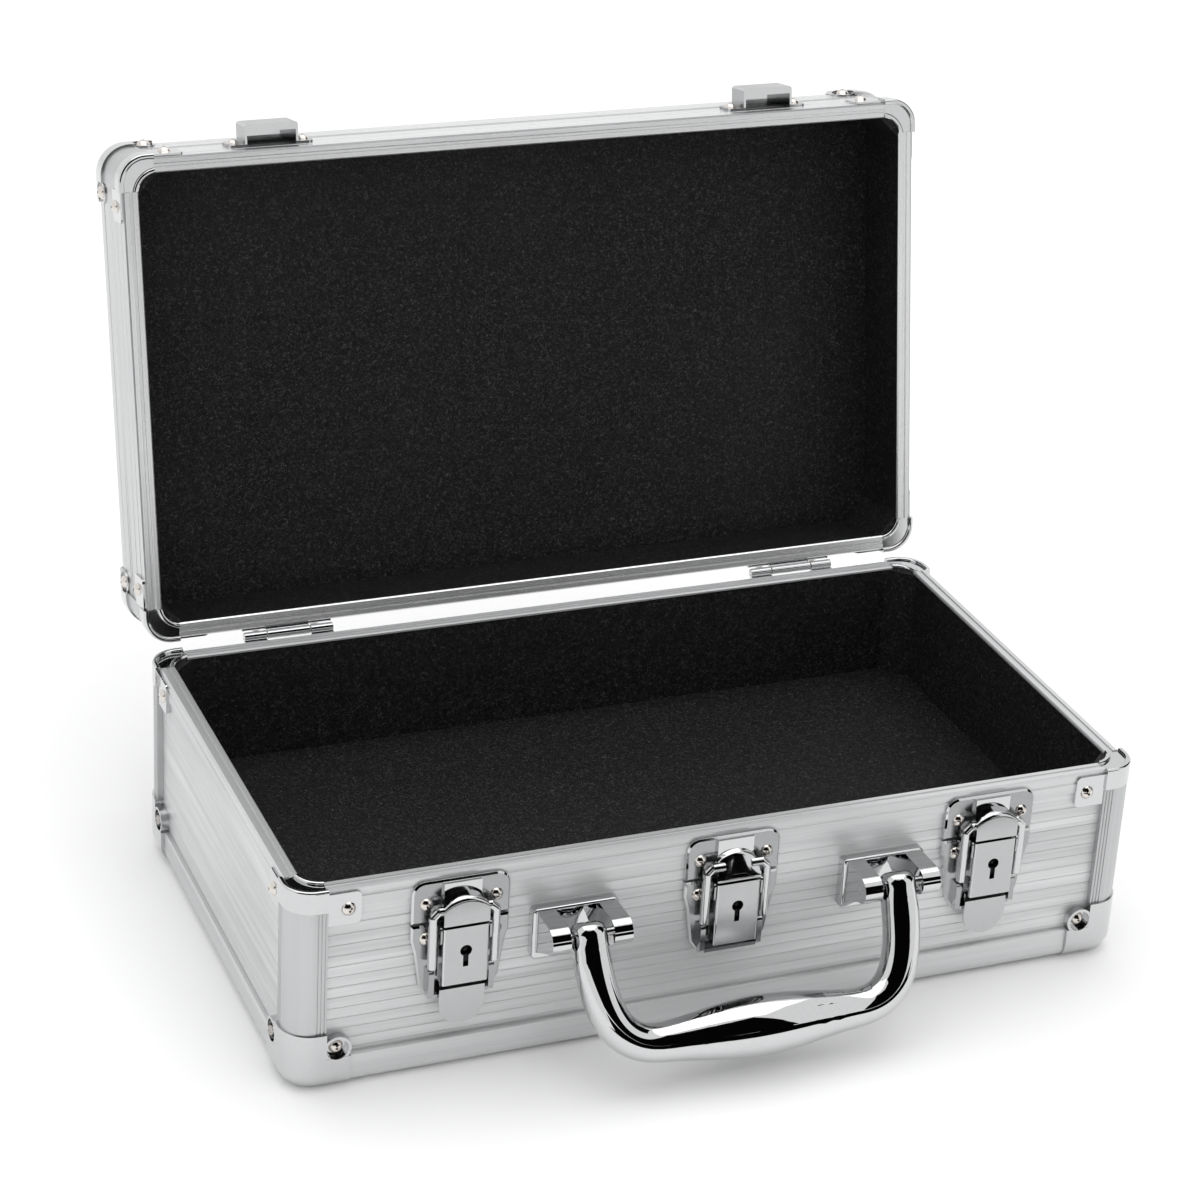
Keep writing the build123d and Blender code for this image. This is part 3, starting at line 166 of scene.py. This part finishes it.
def plain_fibre(name, light, dark, scale):
    """Board or foam, hidden between the outer sheet and the lining."""
    mat, tree, shader = new_material(name)
    grain = noise(tree, coordinates(tree, (1, 0.2, 1)), scale, 4.0, 0.6)
    colour_by(tree, shader, grain, (0.35, dark), (0.65, light))
    bump(tree, shader, grain, 0.0001, 0.4)
    shader.inputs["Roughness"].default_value = 0.8
    return mat


def matte(name, value, roughness, specular):
    mat, tree, shader = new_material(name)
    shader.inputs["Base Color"].default_value = (value, value, value, 1)
    shader.inputs["Roughness"].default_value = roughness
    shader.inputs["Specular IOR Level"].default_value = specular
    return mat


def grey(value):
    """The faintly bluish grey of the metals."""
    return (value, value + 0.005, value + 0.01)


SHEET = {"light": grey(0.7), "dark": grey(0.54), "rough": (0.36, 0.5), "grain": 900.0,
         "depth": 0.00001, "metallic": 0.6}
RAIL = {"light": grey(0.66), "dark": grey(0.56), "rough": (0.3, 0.4), "metallic": 0.6}
LID_RAIL = {"light": grey(0.76), "dark": grey(0.7), "rough": (0.2, 0.3), "anisotropic": 0.0}
SHEET_X = brushed("sheet_along_x", along="x", **SHEET)
SHEET_Y = brushed("sheet_along_y", along="y", **SHEET)
RAIL_X = brushed("rail_along_x", along="x", **RAIL)
RAIL_Y = brushed("rail_along_y", along="y", **RAIL)
RAIL_Z = brushed("post_along_z", grey(0.54), grey(0.49), "z", (0.3, 0.38))
LID_RAIL_X = brushed("lid_rail_along_x", along="x", **LID_RAIL)
# Painted shade: a darker copy of the lid wall metal, for the outer faces of the lid's side walls
SHADED_LID_SIDE = brushed("lid_side_wall_painted_shade", grey(0.6), grey(0.5), "z", (0.24, 0.34), anisotropic=0.0,
                   tilt=LID_LEAN)
# Painted shade: dark grey for the floors of the lid walls' grooves, where shade falls
SHADED_GROOVE = brushed("rail_groove_painted_shade", grey(0.3), grey(0.24), "x", (0.4, 0.5))
LID_RAIL_Z = brushed("lid_rail_along_side", along="z", tilt=LID_LEAN, **LID_RAIL)
CORNER = polished("corner_plating", grey(0.62), (0.06, 0.12))
CHROME = polished("handle_chrome", grey(0.64), (0.015, 0.04))
PRESSED = polished("latch_plating", grey(0.62), (0.04, 0.1))
SATIN = polished("latch_faces", grey(0.5), (0.2, 0.28))
# Painted shade and painted reflection: a darker copy of the plating for the plates' front faces
# and the strikes' outer faces
SHADED_PLATE = polished("plate_faces_painted_shade", grey(0.38), (0.16, 0.24))
RIVET = polished("rivet_steel", (0.72, 0.68, 0.64), (0.08, 0.16))
STEEL = polished("pin_steel", (0.7, 0.7, 0.7), (0.15, 0.25))
# Painted shade: near-black steel for the keyhole plugs and the inside faces of the latches, where
# there is only shade
SHADE_BLACK = polished("painted_shade_black", (0.03, 0.03, 0.032), (0.4, 0.6))
BLACK = lining("black_lining")
BOARD = plain_fibre("board_core", (0.32, 0.2, 0.1), (0.2, 0.12, 0.06), 300.0)
FOAM = plain_fibre("foam", (0.02, 0.02, 0.022), (0.01, 0.01, 0.011), 900.0)
FLOOR = matte("studio_floor", 0.93, roughness=0.9, specular=0.5)
FLAG = matte("black_flag", 0.002, roughness=1.0, specular=0.0)


# ------------------------------------------------------------------ pieces kept from the frame
def dress(name, material, bevel=0.0, segments=2, smooth=True):
    """A material on one CAD node, with smooth shading and edges softened by bevel, in mm."""
    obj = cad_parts[name]
    mesh = obj.data
    if mesh.has_custom_normals:
        with bpy.context.temp_override(object=obj, active_object=obj, selected_objects=[obj]):
            bpy.context.view_layer.objects.active = obj
            bpy.ops.mesh.customdata_custom_splitnormals_clear()
    mesh.polygons.foreach_set("use_smooth", [smooth] * len(mesh.polygons))
    mesh.materials.clear()
    mesh.materials.append(material)
    if smooth:
        weld = obj.modifiers.new("weld", "WELD")
        weld.merge_threshold = 1e-6
    if bevel:
        soft = obj.modifiers.new("bevel", "BEVEL")
        soft.width = bevel * MM
        soft.segments = segments
        soft.limit_method = "ANGLE"
        soft.angle_limit = math.radians(25)
        soft.harden_normals = True
        soft.use_clamp_overlap = True


for side, sheet, rail in (("front", SHEET_X, LID_RAIL_X), ("back", SHEET_X, LID_RAIL_X),
                          ("left", SHEET_Y, LID_RAIL_Z), ("right", SHEET_Y, LID_RAIL_Z)):
    dress(f"base_panel_{side}", sheet, 0.08)
    dress(f"lid_wall_{side}", rail, 0.12)
dress("base_bottom_panel", SHEET_X, 0.2)
dress("lid_top_panel", SHEET_X, 0.1)
for name in ("base_rim_rails", "base_bottom_rails"):
    dress(name, RAIL_X, 0.12)
for name in ("base_corner_posts", "lid_corner_posts"):
    dress(name, RAIL_Z, 0.2)
for name in ("base_top_corners", "lid_rim_corners", "base_bottom_corners", "lid_outer_corners"):
    dress(name, CORNER, 0.2)
for name in ("base_wall_linings", "base_floor_lining", "base_corner_fillers",
             "lid_wall_linings", "lid_ceiling_lining", "lid_corner_fillers"):
    dress(name, BLACK, smooth=False)
for name in ("base_wall_boards", "base_bottom_board", "lid_wall_boards", "lid_top_board"):
    dress(name, BOARD, smooth=False)
for name in ("base_floor_foam", "lid_ceiling_foam"):
    dress(name, FOAM, smooth=False)
for name in ("base_corner_rivets", "latch_rivets", "handle_bracket_rivets", "base_hinge_rivets",
             "lid_corner_rivets", "lid_strike_rivets", "lid_hinge_rivets"):
    dress(name, RIVET, 0.05)
for name in ("latch_pins", "handle_pins", "hinge_pins"):
    dress(name, STEEL, 0.1)
for name in ("latch_upper_plates", "latch_lower_plates", "lid_strikes", "base_hinge_leaves",
             "lid_hinge_leaves"):
    dress(name, PRESSED, 0.15)
for place in LATCH_X:
    dress(f"latch_hook_{place}", PRESSED, 0.25)
    dress(f"latch_lever_{place}", PRESSED, 0.2)
    # the keyhole plug is near black as painted shade for the dark inside of the keyhole
    dress(f"latch_plug_{place}", SHADE_BLACK, 0.1)
for side in ("left", "right"):
    dress(f"handle_bracket_{side}", CHROME, 0.4, segments=3)
dress("handle_grip", CHROME)


# ------------------------------------------------------------------ faces with a look of their own, and faces with painted shade
def paint(name, material, test):
    """The faces of a CAD node whose centre and normal pass the test get the material."""
    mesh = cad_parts[name].data
    mesh.materials.append(material)
    for face in mesh.polygons:
        if test(face.center, face.normal):
            face.material_index = len(mesh.materials) - 1


def in_groove(inside):
    return GROOVE_IN[0] < inside < GROOVE_IN[1]


for side in ("left", "right"):
    # the side walls' faces that face left or right get the painted shade
    paint(f"lid_wall_{side}", SHADED_LID_SIDE, lambda centre, normal: abs(normal.x) > NEARLY_ON)
    # the groove floors get the painted shade
    paint(f"lid_wall_{side}", SHADED_GROOVE,
          lambda centre, normal: in_groove(LID_HALF_WIDTH - abs(centre.x)))
paint("lid_wall_front", SHADED_GROOVE,
      lambda centre, normal: in_groove(LID_REACH - (centre - HINGE_AXIS).dot(LID_UP)))
for name in ("base_rim_rails", "base_bottom_rails"):
    paint(name, RAIL_Y, lambda centre, normal: abs(centre.x) > SIDE_RAILS)
for place, x in LATCH_X.items():
    for piece in ("hook", "lever"):
        paint(f"latch_{piece}_{place}", SATIN,
              lambda centre, normal: (normal.y < -SQUARE_ON
                                      and abs(centre.x - x) < LATCH_HALF_WIDTH
                                      and centre.y < WALL_FRONT - LATCH_FACE_OUT))
    # painted shade: the hook's faces behind the cover and the lever's front faces in the keyhole
    # recess are made near black
    paint(f"latch_hook_{place}", SHADE_BLACK,
          lambda centre, normal: (centre.y > WALL_FRONT - HOOK_INSIDE_OUT
                                  and centre.z < HOOK_INSIDE_TOP))
    paint(f"latch_lever_{place}", SHADE_BLACK,
          lambda centre, normal: (normal.y < -NEARLY_ON and centre.y > WALL_FRONT - KEYHOLE_OUT
                                  and centre.z > KEYHOLE_FOOT))
# the plates' front faces and the strikes' faces get the painted shade and dark reflection
for name in ("latch_upper_plates", "latch_lower_plates"):
    paint(name, SHADED_PLATE, lambda centre, normal: normal.y < -SQUARE_ON)
paint("lid_strikes", SHADED_PLATE,
      lambda centre, normal: normal.dot(LID_UP) > SQUARE_ON or abs(normal.x) > SQUARE_ON)


# ------------------------------------------------------------------ floor and cards
def stage_mesh(name, points, faces, material):
    mesh = bpy.data.meshes.new(name)
    mesh.from_pydata(points, [], faces)
    mesh.materials.append(material)
    card = bpy.data.objects.new(name, mesh)
    bpy.context.scene.collection.objects.link(card)
    return card


def lying_card(name, start, end, height, material):
    (x0, y0), (x1, y1) = start, end
    corners = [(x0, y0, height), (x1, y0, height), (x1, y1, height), (x0, y1, height)]
    return stage_mesh(name, corners, [(0, 1, 2, 3)], material)


def standing_card(name, start, end, low, high):
    corners = [(*start, low), (*end, low), (*end, high), (*start, high)]
    return stage_mesh(name, corners, [(0, 1, 2, 3)], FLAG)


def arc_card(name, from_deg, to_deg, low_deg, high_deg):
    """Card bent round the case, from one azimuth to another. 0 is the front, 90 the right."""
    radius, steps = 2.6, 12
    points, faces = [], []
    for i in range(steps + 1):
        azimuth = math.radians(from_deg + (to_deg - from_deg) * i / steps)
        for elevation in (math.radians(low_deg), math.radians(high_deg)):
            flat = radius * math.cos(elevation)
            points.append((flat * math.sin(azimuth), -flat * math.cos(azimuth),
                           radius * math.sin(elevation)))
        if i:
            faces.append((2 * i - 2, 2 * i, 2 * i + 1, 2 * i - 1))
    return stage_mesh(name, points, faces, FLAG)


def only_reflected(card):
    """Only mirror-like surfaces see the card, as the dark bands in polished metal."""
    card.visible_camera = False
    card.visible_diffuse = False
    card.visible_shadow = False


lying_card("floor", (-6, -6), (6, 6), 0, FLOOR)
# dark bands in the hoods, the rim corners and the upper side of the grip
only_reflected(arc_card("flag_front", from_deg=-66, to_deg=32, low_deg=11, high_deg=62))
only_reflected(arc_card("flag_right", from_deg=70, to_deg=110, low_deg=6, high_deg=50))
# the band along the middle of the grip
only_reflected(lying_card("flag_floor", (-0.15, -0.4), (0.4, -0.27), 0.002, FLAG))
only_reflected(standing_card("flag_low", (-0.15, -0.4), (0.4, -0.4), 0.0, 0.075))
# the black face of the middle latch's hood, which leans further than the others
only_reflected(standing_card("flag_hood", (0.12, -0.542), (0.232, -0.496), 0.08, 0.19))


# ------------------------------------------------------------------ light and camera
def emitter(name, at, look, size, power):
    data = bpy.data.lights.new(name, "AREA")
    data.shape = "RECTANGLE"
    data.size, data.size_y = size
    data.energy = power
    lamp = bpy.data.objects.new(name, data)
    bpy.context.scene.collection.objects.link(lamp)
    lamp.location = at
    lamp.rotation_mode = "QUATERNION"
    lamp.rotation_quaternion = (Vector(look) - Vector(at)).to_track_quat("-Z", "Y")
    return lamp


world = bpy.data.worlds.new("studio")
bpy.context.scene.world = world
world.use_nodes = True
background = world.node_tree.nodes["Background"]
background.inputs["Color"].default_value = (1, 1, 1, 1)
background.inputs["Strength"].default_value = 0.95

emitter("top_box", (0.1, 0.3, 2.2), (0, 0, 0.1), (2.4, 2.0), 15)
fill = emitter("front_fill", (0.2, -1.5, 1.9), (0, 0.1, 0.1), (1.4, 1.4), 6)
fill.visible_glossy = False

CAM_AT = Vector((-0.4593, -1.0394, 0.6837))
CAM_RIGHT = Vector((0.92870, -0.36717, 0.05195))
CAM_UP = Vector((0.11853, 0.42665, 0.89662))
CAM_FORWARD = Vector((0.35138, 0.82653, -0.43975))
camera_data = bpy.data.cameras.new("camera")
camera_data.lens = 100.78
camera_data.sensor_width = 36.0
camera_data.clip_start = 0.05
camera = bpy.data.objects.new("camera", camera_data)
bpy.context.scene.collection.objects.link(camera)
turn = Matrix((CAM_RIGHT, CAM_UP, -CAM_FORWARD)).transposed()
camera.matrix_world = Matrix.Translation(CAM_AT) @ turn.to_4x4()
bpy.context.scene.camera = camera
bpy.context.scene.view_settings.view_transform = "Standard"
